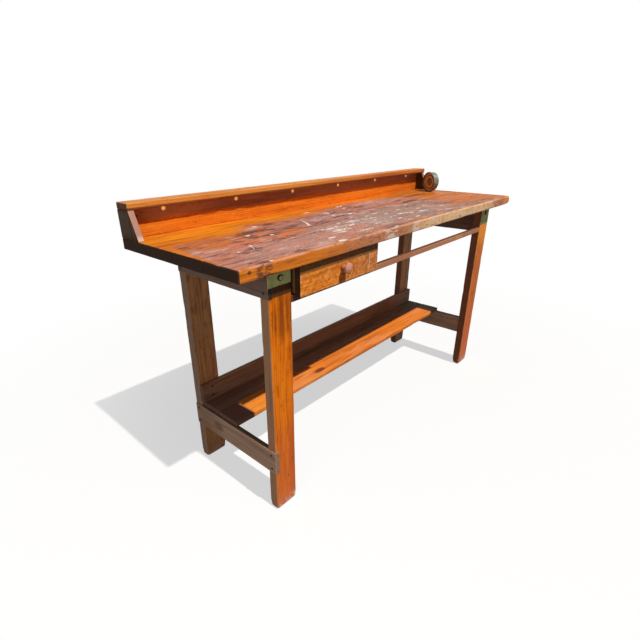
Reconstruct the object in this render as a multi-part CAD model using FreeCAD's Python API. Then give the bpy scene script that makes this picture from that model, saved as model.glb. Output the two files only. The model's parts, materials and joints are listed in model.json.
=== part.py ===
import FreeCAD
import Part
import math
import os

# Old woodworking bench: plank top with a backboard, one drawer under the top,
# a low shelf, and a small round metal fitting at the right end.
# Millimetres. +X runs to the worker's right, +Y towards the backboard, +Z up.
# The origin lies on the floor under the centre of the bench's outline.

# Bench top
top_length = 1770.0
top_depth = 584.0
right_run_out = 52.0
top_thickness = 36.0
work_height = 896.0
plank_count = 4
plank_gap = 1.0
plank_ease = 1.5
front_edge_ease = 3.0
left_corner_radius = 9.0
right_corner_radius = 20.0
chip_radius = 46.0
chip_depth = 7.0
chip_from_end = 105.0

# Backboard, its cap rail and the end boards
backboard_height = 90.0
backboard_thickness = 36.0
cap_thickness = 22.0
cap_ease = 3.0
cap_right_overhang = 9.0
end_board_thickness = 21.0
end_board_top_depth = 69.0
end_board_foot_depth = 108.0
board_ease = 1.5
tool_hole_count = 6
tool_hole_pitch_share = 0.173
tool_hole_radius = 10.5
tool_hole_gap = 2.5

# Legs
leg_width = 90.0
leg_depth = 36.0
leg_end_inset = 131.5
leg_front_inset = 45.0
leg_back_inset = 95.0
leg_ease = 2.5
foot_round = 13.0

# End rails under the top and end stretchers near the floor, let into the legs
rail_thickness = 19.0
left_rail_proud = 3.0
left_rail_end_proud = 1.5
right_rail_proud = 1.0
right_rail_stop = 8.0
housing_clear = 0.2
left_rail_height = 84.5
right_rail_height = 130.0
stretcher_height = 90.0
stretcher_top_z = 250.0

# Shelf and the long back stretcher
shelf_plank_count = 2
shelf_plank_width = 101.0
shelf_plank_gap = 3.0
shelf_thickness = 19.0
shelf_back_clear = 2.0
shelf_bearing = 12.0
shelf_corner_radius = 8.0
back_stretcher_height = 72.0
back_stretcher_thickness = 18.0

# Thin front rail and the bearer under the planks
front_rail_height = 22.0
front_rail_depth = 19.0
drawer_opening = 94.0
bearer_width = 45.0
bearer_thickness = 24.0
bearer_front_inset = 62.0
bearer_back_inset = 40.0

# Drawer and what carries it
hanger_thickness = 18.0
hanger_back_gap = 13.0
runner_width = 18.0
runner_height = 18.0
slide_clear = 0.3
side_clear = 1.0
drawer_face_setback = 16.0
drawer_front_thickness = 24.0
drawer_front_margin = 6.5
drawer_front_lap = 4.0
drawer_front_gap = 4.0
drawer_front_ease = 2.5
drawer_box_width = 360.0
drawer_back_gap = 20.0
drawer_side_height = 78.0
drawer_side_thickness = 12.0
drawer_panel_thickness = 6.0
groove_height = 8.0
groove_depth = 5.0
groove_clear = 0.2
stop_length = 90.0
stop_depth = 18.0
stop_height = 40.0
stop_clear = 1.0

# Turned knob and its screw
knob_reach = 30.0
knob_radius = 17.5
knob_foot_radius = 10.0
knob_neck_radius = 7.0
knob_foot_length = 4.0
knob_rim_thickness = 6.0
knob_crown = 5.0
knob_raise = 4.0
knob_bore_depth = 16.0
screw_radius = 2.0
screw_clear = 0.3
screw_head_radius = 4.5
screw_head_height = 2.5

# Nails in the rails and stretchers, and bolts in the front legs
nail_radius = 2.0
nail_clear = 0.2
nail_head_radius = 4.5
nail_head_height = 1.4
nail_length = 48.0
nail_edge = 17.0
bolt_radius = 4.0
bolt_clear = 0.3
bolt_head_radius = 9.0
bolt_head_height = 5.0
bolt_length = 26.0
bolt_drop = 30.0

# Round metal fitting on the top's right end
fitting_radius = 51.0
fitting_length = 37.0
fitting_wall = 1.6
fitting_rim = 2.4
fitting_recess = 9.0
fitting_back_bevel = 6.0
fitting_ledge = 3.0
fitting_cover_thickness = 2.0
fitting_ring_height = 2.4
fitting_ring_width = 5.0
fitting_boss_radius = 9.0
fitting_boss_height = 6.0
fitting_end_inset = 62.0
fitting_board_gap = 50.0
fitting_turn_deg = 25.0
fitting_seat_clear = 0.2
fitting_fit = 0.3
fitting_screw_length = 20.0

# How far each cut runs past the face that it opens
overrun = 5.0

# Planes that several pieces share
knob_overreach = knob_reach - drawer_face_setback
outline_depth = top_depth + knob_overreach
front_y = knob_overreach - outline_depth / 2
back_y = front_y + top_depth
end_x = top_length / 2
under_z = work_height - top_thickness
leg_outer_x = end_x - leg_end_inset
leg_inner_x = leg_outer_x - leg_width
leg_front_y = front_y + leg_front_inset
leg_rear_y = back_y - leg_back_inset
back_leg_front_y = leg_rear_y - leg_depth
rail_inner_x = leg_outer_x + left_rail_proud - rail_thickness
rail_top_z = under_z - drawer_opening
rail_back_y = leg_front_y + front_rail_depth
shelf_bottom_z = stretcher_top_z
shelf_top_z = shelf_bottom_z + shelf_thickness
shelf_width = shelf_plank_count * (shelf_plank_width + shelf_plank_gap) - shelf_plank_gap
shelf_rear_y = back_leg_front_y - shelf_back_clear
shelf_front_y = shelf_rear_y - shelf_width

UP = FreeCAD.Vector(0, 0, 1)
ALONG = FreeCAD.Vector(1, 0, 0)
INWARD = FreeCAD.Vector(0, 1, 0)
pieces = {}


def block(x_span, y_span, z_span):
    """A box between two planes in each direction."""
    corner = FreeCAD.Vector(x_span[0], y_span[0], z_span[0])
    return Part.makeBox(x_span[1] - x_span[0], y_span[1] - y_span[0], z_span[1] - z_span[0], corner)


def edges_along(shape, direction):
    """The straight edges of a shape that run in one direction."""
    found = []
    for edge in shape.Edges:
        run = edge.Vertexes[-1].Point - edge.Vertexes[0].Point
        if run.Length > 0 and abs(run.normalize().dot(direction)) > 1 - 1e-6:
            found.append(edge)
    return found


def board(x_span, y_span, z_span, grain, ease=board_ease):
    """A board with its four long edges rubbed round."""
    solid = block(x_span, y_span, z_span)
    return solid.makeFillet(ease, edges_along(solid, grain))


def slab(corners, low_z, high_z):
    """A flat piece with straight sides between two heights."""
    points = [FreeCAD.Vector(x, y, low_z) for x, y in corners]
    return Part.Face(Part.makePolygon(points + points[:1])).extrude(UP * (high_z - low_z))


def right_end(y):
    """The sawn right end of the top, which runs out towards the back."""
    return end_x + right_run_out * (y - front_y) / top_depth


def rod(point, direction, radius, length):
    return Part.makeCylinder(radius, length, point, direction)


def turned(profile_edges, point, direction):
    """A solid of revolution, drawn as radius along X and reach along Z, set on an axis."""
    face = Part.Face(Part.Wire(profile_edges))
    solid = face.revolve(FreeCAD.Vector(0, 0, 0), UP, 360)
    solid.Placement = FreeCAD.Placement(point, FreeCAD.Rotation(UP, direction))
    return solid


def outline(points):
    """Straight edges through radius and reach pairs, closed."""
    corners = [FreeCAD.Vector(radius, 0, reach) for radius, reach in points]
    return [Part.LineSegment(a, b).toShape() for a, b in zip(corners, corners[1:] + corners[:1])]


def headed_pin(point, direction, radius, length, head_radius, head_height):
    """A nail or screw: the head lies on the surface at the point, the shank runs along the direction."""
    shank = rod(point, direction, radius, length)
    head = rod(point, direction * -1, head_radius, head_height)
    rim = [edge for edge in head.Edges if (edge.CenterOfMass - point).dot(direction) < -head_height / 2]
    rim = [edge for edge in rim if edge.Closed]
    head = head.makeChamfer(head_height / 3, rim)
    return shank.fuse(head).removeSplitter()


def drill(names, point, direction, radius, length):
    """Open a round hole through or into the named pieces."""
    start = point - direction * overrun
    bit = rod(start, direction, radius, length + overrun)
    for name in names:
        pieces[name] = pieces[name].cut(bit)


def add_nails(name, board_name, leg_names, places, direction):
    """Nails through a board into the legs behind it, as one group."""
    nails = []
    for point in places:
        drill(
            [board_name] + leg_names, point, direction,
            nail_radius + nail_clear, nail_length + nail_clear)
        nails.append(headed_pin(
            point, direction, nail_radius, nail_length, nail_head_radius, nail_head_height))
    pieces[name] = Part.makeCompound(nails)


# Bench top, sawn out of square at its right end.
# The front plank has round corners, a softer front edge and an old chip.
plank_width = (top_depth + plank_gap) / plank_count - plank_gap
plank_names = []
for index in range(plank_count):
    near_y = front_y + index * (plank_width + plank_gap)
    name = "top_plank_%d" % (index + 1)
    plank_names.append(name)
    plank = slab([
        (-end_x, near_y), (right_end(near_y), near_y),
        (right_end(near_y + plank_width), near_y + plank_width), (-end_x, near_y + plank_width)],
        under_z, work_height)
    if index > 0:
        pieces[name] = plank.makeFillet(plank_ease, edges_along(plank, ALONG))
        continue
    corners = [edge for edge in edges_along(plank, UP) if edge.CenterOfMass.y < near_y + plank_width / 2]
    corners.sort(key=lambda edge: edge.CenterOfMass.x)
    plank = plank.makeFillet(left_corner_radius, corners[:1])
    corners = [edge for edge in edges_along(plank, UP) if edge.CenterOfMass.y < near_y + plank_width / 2]
    corners.sort(key=lambda edge: edge.CenterOfMass.x)
    plank = plank.makeFillet(right_corner_radius, corners[-1:])
    lips = [edge for edge in edges_along(plank, ALONG) if edge.CenterOfMass.y < near_y + plank_width / 2]
    plank = plank.makeFillet(front_edge_ease, lips)
    chip_axis = FreeCAD.Vector(chip_from_end - end_x, front_y - overrun, under_z - chip_radius + chip_depth)
    pieces[name] = plank.cut(rod(chip_axis, INWARD, chip_radius, chip_depth + overrun))

# Backboard on the back of the top, between two end boards, under a cap rail
cap_bottom_z = work_height + backboard_height
backboard_y = back_y - backboard_thickness
cap_front_y = back_y - end_board_top_depth
back_right_x = right_end(back_y - end_board_foot_depth)
backboard_x = (end_board_thickness - end_x, back_right_x - end_board_thickness)
pieces["backboard"] = board(backboard_x, (backboard_y, back_y), (work_height, cap_bottom_z), ALONG)
pieces["cap_rail"] = board(
    (-end_x, back_right_x + cap_right_overhang), (cap_front_y, back_y),
    (cap_bottom_z, cap_bottom_z + cap_thickness), ALONG, cap_ease)

for side, outer_x in (("left", -end_x), ("right", back_right_x)):
    inner_x = outer_x - math.copysign(end_board_thickness, outer_x)
    low_x = min(outer_x, inner_x)
    slope = [
        FreeCAD.Vector(low_x, back_y, work_height),
        FreeCAD.Vector(low_x, back_y - end_board_foot_depth, work_height),
        FreeCAD.Vector(low_x, cap_front_y, cap_bottom_z),
        FreeCAD.Vector(low_x, back_y, cap_bottom_z),
    ]
    panel = Part.Face(Part.makePolygon(slope + slope[:1])).extrude(ALONG * end_board_thickness)
    sloped = (slope[2] - slope[1]).normalize()
    pieces["end_board_" + side] = panel.makeFillet(board_ease, edges_along(panel, sloped))

# Holes for tools through the overhang of the cap rail
for index in range(tool_hole_count):
    from_middle = (index - (tool_hole_count - 1) / 2) * tool_hole_pitch_share
    hole_x = sum(backboard_x) / 2 + from_middle * (backboard_x[1] - backboard_x[0])
    hole_y = backboard_y - tool_hole_gap - tool_hole_radius
    mouth = FreeCAD.Vector(hole_x, hole_y, cap_bottom_z + cap_thickness)
    drill(["cap_rail"], mouth, UP * -1, tool_hole_radius, cap_thickness + overrun)

# Legs: wide face to the front, feet worn round
for side, low_x in (("left", -leg_outer_x), ("right", leg_inner_x)):
    for row, near_y in (("front", leg_front_y), ("back", back_leg_front_y)):
        leg = block((low_x, low_x + leg_width), (near_y, near_y + leg_depth), (0, under_z))
        feet = [edge for edge in edges_along(leg, INWARD) if edge.CenterOfMass.z < under_z / 2]
        leg = leg.makeFillet(foot_round, feet)
        pieces["leg_%s_%s" % (row, side)] = leg.makeFillet(leg_ease, edges_along(leg, UP))

# End rails and end stretchers, let into the outer faces of the legs and nailed.
# The left ones run past the front legs, the right ones stop behind the front face.
for side, hand in (("left", -1), ("right", 1)):
    rail_outer_x = leg_outer_x + (left_rail_proud if hand < 0 else right_rail_proud)
    rail_front_y = leg_front_y + (-left_rail_end_proud if hand < 0 else right_rail_stop)
    x_span = tuple(sorted((hand * (rail_outer_x - rail_thickness), hand * rail_outer_x)))
    housing_x = tuple(sorted((hand * (rail_outer_x - rail_thickness), hand * (rail_outer_x + overrun))))
    rail_height = left_rail_height if hand < 0 else right_rail_height
    legs = ["leg_front_" + side, "leg_back_" + side]
    leg_centres = (leg_front_y + leg_depth / 2, leg_rear_y - leg_depth / 2)
    for name, low_z, high_z in (
            ("end_rail_" + side, under_z - rail_height, under_z),
            ("end_stretcher_" + side, stretcher_top_z - stretcher_height, stretcher_top_z)):
        pieces[name] = board(x_span, (rail_front_y, leg_rear_y), (low_z, high_z), INWARD)
        housing = block(
            housing_x, (rail_front_y - housing_clear, leg_rear_y + overrun),
            (low_z - housing_clear, high_z + housing_clear))
        for leg_name in legs:
            pieces[leg_name] = pieces[leg_name].cut(housing)
        places = [FreeCAD.Vector(hand * rail_outer_x, y, z)
                  for y in leg_centres for z in (low_z + nail_edge, high_z - nail_edge)]
        add_nails(name + "_nails", name, legs, places, ALONG * -hand)

# Shelf planks lie on both end stretchers
shelf_end_x = rail_inner_x + shelf_bearing
for index in range(shelf_plank_count):
    near_y = shelf_front_y + index * (shelf_plank_width + shelf_plank_gap)
    plank = block(
        (-shelf_end_x, shelf_end_x), (near_y, near_y + shelf_plank_width),
        (shelf_bottom_z, shelf_top_z))
    corners = [edge for edge in edges_along(plank, UP) if edge.CenterOfMass.x > 0]
    plank = plank.makeFillet(shelf_corner_radius, corners)
    pieces["shelf_plank_%d" % (index + 1)] = plank.makeFillet(board_ease, edges_along(plank, ALONG))

# Long back stretcher stands on the shelf, against the front faces of the back legs
back_stretcher_y = back_leg_front_y - back_stretcher_thickness
back_stretcher_top_z = shelf_top_z + back_stretcher_height
pieces["back_stretcher"] = board(
    (-leg_outer_x, leg_outer_x), (back_stretcher_y, back_leg_front_y),
    (shelf_top_z, back_stretcher_top_z), ALONG)
leg_mid_x = (leg_outer_x + leg_inner_x) / 2
add_nails(
    "back_stretcher_nails", "back_stretcher", ["leg_back_left", "leg_back_right"],
    [FreeCAD.Vector(x, back_stretcher_y, z)
     for x in (-leg_mid_x, leg_mid_x)
     for z in (shelf_top_z + nail_edge, back_stretcher_top_z - nail_edge)],
    INWARD)

# Thin front rail between the front legs
pieces["front_rail"] = board(
    (-leg_inner_x, leg_inner_x), (leg_front_y, rail_back_y),
    (rail_top_z - front_rail_height, rail_top_z), ALONG)

# Bolts left in the painted tops of the front legs
bolts = []
for side, bolt_x in (("left", -leg_mid_x), ("right", leg_mid_x)):
    seat = FreeCAD.Vector(bolt_x, leg_front_y, under_z - bolt_drop)
    drill(["leg_front_" + side], seat, INWARD, bolt_radius + bolt_clear, bolt_length + bolt_clear)
    bolts.append(headed_pin(seat, INWARD, bolt_radius, bolt_length, bolt_head_radius, bolt_head_height))
pieces["leg_bolts"] = Part.makeCompound(bolts)

# Drawer hangers under the top, each with a runner strip
hanger_rear_y = back_leg_front_y - hanger_back_gap
box_left_x = -leg_inner_x + hanger_thickness + side_clear
box_right_x = box_left_x + drawer_box_width
right_hanger_x = box_right_x + side_clear
runner_z = (rail_top_z - runner_height, rail_top_z)
hanger_z = (rail_top_z - runner_height, under_z)
hanger_y = (rail_back_y, hanger_rear_y)
left_runner_x = -leg_inner_x + hanger_thickness
left_hanger_span = (-leg_inner_x, left_runner_x)
right_hanger_span = (right_hanger_x, right_hanger_x + hanger_thickness)
left_runner_span = (left_runner_x, left_runner_x + runner_width)
right_runner_span = (right_hanger_x - runner_width, right_hanger_x)
pieces["drawer_hanger_left"] = board(left_hanger_span, hanger_y, hanger_z, INWARD)
pieces["drawer_hanger_right"] = board(right_hanger_span, hanger_y, hanger_z, INWARD)
pieces["drawer_runner_left"] = board(left_runner_span, hanger_y, runner_z, INWARD)
pieces["drawer_runner_right"] = board(right_runner_span, hanger_y, runner_z, INWARD)

# Bearer under the planks, midway between the drawer and the right legs
bearer_mid_x = (right_hanger_x + hanger_thickness + leg_inner_x) / 2
pieces["top_bearer"] = board(
    (bearer_mid_x - bearer_width / 2, bearer_mid_x + bearer_width / 2),
    (front_y + bearer_front_inset, back_y - bearer_back_inset),
    (under_z - bearer_thickness, under_z), INWARD)

# Drawer: a front that laps the rail, grooved sides, back and bottom panel
drawer_face_y = front_y + drawer_face_setback
drawer_front_rear_y = drawer_face_y + drawer_front_thickness
drawer_rear_y = hanger_rear_y - drawer_back_gap
front_left_x = -leg_inner_x + drawer_front_margin
front_right_x = right_hanger_x + hanger_thickness - drawer_front_margin
box_bottom_z = rail_top_z + slide_clear
box_top_z = box_bottom_z + drawer_side_height
panel_z = box_bottom_z + groove_height
panel_top_z = panel_z + drawer_panel_thickness
box_inner_left_x = box_left_x + drawer_side_thickness
box_inner_right_x = box_right_x - drawer_side_thickness
groove_z = (panel_z - groove_clear, panel_top_z + groove_clear)

drawer_front = block(
    (front_left_x, front_right_x), (drawer_face_y, drawer_front_rear_y),
    (rail_top_z - drawer_front_lap, under_z - drawer_front_gap))
face_rim = [edge for edge in drawer_front.Edges
            if edge.CenterOfMass.y < drawer_face_y + drawer_front_ease / 2]
drawer_front = drawer_front.makeFillet(drawer_front_ease, face_rim)
groove_left_x = box_inner_left_x - groove_depth
groove_right_x = box_inner_right_x + groove_depth
pieces["drawer_front"] = drawer_front.cut(block(
    (groove_left_x, groove_right_x),
    (drawer_front_rear_y - groove_depth, drawer_front_rear_y + overrun), groove_z))

for side, x_span, groove_x in (
        ("left", (box_left_x, box_inner_left_x), (groove_left_x, box_inner_left_x + overrun)),
        ("right", (box_inner_right_x, box_right_x), (box_inner_right_x - overrun, groove_right_x))):
    panel = block(x_span, (drawer_front_rear_y, drawer_rear_y), (box_bottom_z, box_top_z))
    groove = block(groove_x, (drawer_front_rear_y - overrun, drawer_rear_y + overrun), groove_z)
    pieces["drawer_side_" + side] = panel.cut(groove)

pieces["drawer_back"] = block(
    (box_inner_left_x, box_inner_right_x), (drawer_rear_y - drawer_side_thickness, drawer_rear_y),
    (groove_z[1], box_top_z))
pieces["drawer_bottom"] = block(
    (groove_left_x + groove_clear, groove_right_x - groove_clear),
    (drawer_front_rear_y - groove_depth + groove_clear, drawer_rear_y), (panel_z, panel_top_z))

# Stop block under the top, just behind the closed drawer
drawer_mid_x = (front_left_x + front_right_x) / 2
pieces["drawer_stop"] = board(
    (drawer_mid_x - stop_length / 2, drawer_mid_x + stop_length / 2),
    (drawer_rear_y + stop_clear, drawer_rear_y + stop_clear + stop_depth),
    (under_z - stop_height, under_z), ALONG)

# Turned knob: a flared foot, a waist, and a crowned head
knob_mid_z = (rail_top_z - drawer_front_lap + under_z - drawer_front_gap) / 2 + knob_raise
knob_seat = FreeCAD.Vector(drawer_mid_x, drawer_face_y, knob_mid_z)
rim_reach = knob_reach - knob_crown
under_reach = rim_reach - knob_rim_thickness
waist_reach = (knob_foot_length + under_reach) / 2
bore = screw_radius + screw_clear


def at(radius, reach):
    return FreeCAD.Vector(radius, 0, reach)


crown_radius = (knob_radius ** 2 + knob_crown ** 2) / (2 * knob_crown)
crown_mid_reach = knob_reach - crown_radius + math.sqrt(crown_radius ** 2 - (knob_radius / 2) ** 2)
knob_edges = [
    Part.LineSegment(at(bore, 0), at(knob_foot_radius, 0)).toShape(),
    Part.LineSegment(at(knob_foot_radius, 0), at(knob_foot_radius, knob_foot_length)).toShape(),
    Part.Arc(at(knob_foot_radius, knob_foot_length), at(knob_neck_radius, waist_reach),
             at(knob_radius, under_reach)).toShape(),
    Part.LineSegment(at(knob_radius, under_reach), at(knob_radius, rim_reach)).toShape(),
    Part.Arc(at(knob_radius, rim_reach), at(knob_radius / 2, crown_mid_reach), at(0, knob_reach)).toShape(),
    Part.LineSegment(at(0, knob_reach), at(0, knob_bore_depth)).toShape(),
    Part.LineSegment(at(0, knob_bore_depth), at(bore, knob_bore_depth)).toShape(),
    Part.LineSegment(at(bore, knob_bore_depth), at(bore, 0)).toShape(),
]
pieces["drawer_knob"] = turned(knob_edges, knob_seat, INWARD * -1)

screw_seat = FreeCAD.Vector(drawer_mid_x, drawer_front_rear_y, knob_mid_z)
screw_length = drawer_front_thickness + knob_bore_depth - screw_clear
drill(["drawer_front"], screw_seat, INWARD * -1, bore, drawer_front_thickness + overrun)
pieces["knob_screw"] = headed_pin(
    screw_seat, INWARD * -1, screw_radius, screw_length, screw_head_radius, screw_head_height)

# Round fitting: a spun metal cup lying on its side, with a ringed cover in its mouth.
# Reach counts from the mouth into the cup.
turn = math.radians(fitting_turn_deg)
fitting_axis = FreeCAD.Vector(math.cos(turn), -math.sin(turn), 0)
fitting_mouth = FreeCAD.Vector(
    end_x - fitting_end_inset, back_y - end_board_foot_depth - fitting_board_gap,
    work_height + fitting_radius + fitting_seat_clear)
cup_radius = fitting_radius - fitting_rim
cup_inner = cup_radius - fitting_wall
seat_reach = fitting_recess + fitting_cover_thickness
shell = turned(outline([
    (cup_inner, 0), (fitting_radius, 0), (fitting_radius, fitting_rim), (cup_radius, fitting_rim),
    (cup_radius, fitting_length - fitting_back_bevel), (cup_radius - fitting_back_bevel, fitting_length),
    (0, fitting_length), (0, fitting_length - fitting_wall),
    (cup_inner - fitting_back_bevel, fitting_length - fitting_wall),
    (cup_inner - fitting_ledge, fitting_length - fitting_wall - fitting_back_bevel),
    (cup_inner - fitting_ledge, seat_reach),
    (cup_inner, seat_reach)]), fitting_mouth, fitting_axis)
cover_radius = cup_inner - fitting_fit
ring_radius = (fitting_boss_radius + cover_radius) / 2
cover = turned(outline([
    (0, fitting_recess), (ring_radius - fitting_ring_width / 2, fitting_recess),
    (ring_radius - fitting_ring_width / 2, fitting_recess - fitting_ring_height),
    (ring_radius + fitting_ring_width / 2, fitting_recess - fitting_ring_height),
    (ring_radius + fitting_ring_width / 2, fitting_recess), (cover_radius, fitting_recess),
    (cover_radius, seat_reach), (0, seat_reach)]), fitting_mouth, fitting_axis)
boss_foot = fitting_mouth + fitting_axis * fitting_recess
boss = rod(boss_foot, fitting_axis * -1, fitting_boss_radius, fitting_boss_height)
boss_rim = [edge for edge in boss.Edges
            if edge.Closed and (edge.CenterOfMass - boss_foot).Length > fitting_boss_height / 2]
pieces["fitting_shell"] = shell
pieces["fitting_cover"] = cover
pieces["fitting_boss"] = boss.makeChamfer(fitting_boss_height / 3, boss_rim)

# One screw inside the cup holds it down on the plank below
screw_top = fitting_mouth + fitting_axis * ((seat_reach + fitting_length - fitting_back_bevel) / 2)
screw_top.z = fitting_mouth.z - cup_inner + fitting_ledge + fitting_fit
drill(["fitting_shell"] + plank_names, screw_top, UP * -1, bore,
      fitting_screw_length + fitting_rim + fitting_ledge + screw_clear)
pieces["fitting_screw"] = headed_pin(
    screw_top, UP * -1, screw_radius, fitting_screw_length + fitting_rim + fitting_ledge,
    screw_head_radius, screw_head_height)

# The outline is wider on the right, so all pieces move half of that to the left
middle = FreeCAD.Vector(-right_run_out / 2, 0, 0)
os.makedirs("parts", exist_ok=True)
for name, shape in pieces.items():
    shape.translate(middle)
    if not shape.isValid():
        raise ValueError("piece %s is not a valid shape" % name)
    shape.exportStep(os.path.join("parts", name + ".step"))
print("pieces:", len(pieces))
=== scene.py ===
import json
import math
from functools import reduce
from itertools import product

import bmesh
import bpy
from mathutils import Matrix, Vector, noise


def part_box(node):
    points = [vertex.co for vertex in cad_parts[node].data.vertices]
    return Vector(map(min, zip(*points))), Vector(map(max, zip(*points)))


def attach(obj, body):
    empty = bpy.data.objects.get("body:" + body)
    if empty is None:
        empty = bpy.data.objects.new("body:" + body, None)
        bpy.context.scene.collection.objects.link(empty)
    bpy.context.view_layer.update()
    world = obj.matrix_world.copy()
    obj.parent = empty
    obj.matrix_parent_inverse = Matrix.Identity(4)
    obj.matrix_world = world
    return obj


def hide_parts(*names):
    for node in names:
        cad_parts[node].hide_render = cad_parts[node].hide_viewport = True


# Looks of the old woodworking bench. Metres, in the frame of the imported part.
# Colours are written as they are seen, red, green and blue from 0 to 255.

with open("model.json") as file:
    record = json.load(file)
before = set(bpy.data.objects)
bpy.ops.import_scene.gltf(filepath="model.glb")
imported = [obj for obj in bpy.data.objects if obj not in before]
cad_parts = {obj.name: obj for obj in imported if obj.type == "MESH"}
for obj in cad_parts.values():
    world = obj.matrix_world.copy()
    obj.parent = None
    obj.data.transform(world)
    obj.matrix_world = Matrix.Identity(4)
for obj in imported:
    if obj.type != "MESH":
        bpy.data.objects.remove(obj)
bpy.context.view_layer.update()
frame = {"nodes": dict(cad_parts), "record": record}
nodes = frame["nodes"]
record = frame["record"]
body_of_node = {}
for body, members in record["behaviour"]["bodies"].items():
    for member in members:
        body_of_node[member] = body

top_low, top_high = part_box("top_plank_1")
back_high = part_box("top_plank_4")[1]
FRONT_Y = top_low.y
TOP_Z = top_high.z
# Marks along the bench count from halfway between the legs, marks across it from the top's front edge
MID_X = (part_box("leg_front_left")[0].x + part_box("leg_front_right")[1].x) / 2
# The right end of the top is sawn out of square
RUN_OUT = (back_high.x - top_high.x) / (back_high.y - top_high.y)


def tone(red, green, blue):
    """A colour as it is seen, as the linear value that a shader takes."""
    def line(value):
        value /= 255
        return value / 12.92 if value <= 0.04045 else ((value + 0.055) / 1.055) ** 2.4
    return (line(red), line(green), line(blue), 1.0)


def sum_as_node(name, swapped=False):
    """How two numbers are put together by a node."""
    def apply(self, other):
        values = (other, self) if swapped else (self, other)
        return self.graph.math(name, *values)
    return apply


class Val:
    """A number that a node gives, with ordinary sums."""

    def __init__(self, graph, socket):
        self.graph = graph
        self.socket = socket

    __add__ = __radd__ = sum_as_node("ADD")
    __sub__ = sum_as_node("SUBTRACT")
    __rsub__ = sum_as_node("SUBTRACT", True)
    __mul__ = __rmul__ = sum_as_node("MULTIPLY")
    __truediv__ = sum_as_node("DIVIDE")

    def sway(self, reach):
        """A noise of 0 to 1 as a shift about nought."""
        return (self - 0.5) * reach


class Graph:
    """The nodes of a material or of the world."""

    def __init__(self, owner):
        owner.use_nodes = True
        self.owner = owner
        self.tree = owner.node_tree
        self.tree.nodes.clear()

    def new(self, kind, *values, **settings):
        """A node with its settings, and values for its first inputs."""
        node = self.tree.nodes.new(kind)
        for key, value in settings.items():
            setattr(node, key, value)
        for socket, value in zip(node.inputs, values):
            self.put(socket, value)
        return node

    def feed(self, node, values):
        """Values for a node's inputs by name."""
        for name, value in values.items():
            self.put(node.inputs[name], value)
        return node

    def put(self, socket, value):
        if isinstance(value, Val):
            value = value.socket
        if isinstance(value, bpy.types.NodeSocket):
            self.tree.links.new(value, socket)
        else:
            socket.default_value = tone(*value) if isinstance(value, tuple) else value

    def math(self, operation, *values):
        return Val(self, self.new("ShaderNodeMath", *values, operation=operation).outputs[0])

    def least(self, *values):
        return reduce(lambda one, two: self.math("MINIMUM", one, two), values)

    def most(self, *values):
        return reduce(lambda one, two: self.math("MAXIMUM", one, two), values)

    def ray(self, *kinds):
        """1 for rays of the named kinds, 0 for others."""
        rays = self.new("ShaderNodeLightPath")
        return self.most(*(Val(self, rays.outputs[kind]) for kind in kinds))

    def blend(self, share, first, second):
        """Two shaders mixed."""
        return self.new("ShaderNodeMixShader", share, first, second).outputs[0]


BUMP_STRENGTH = 0.6


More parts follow.
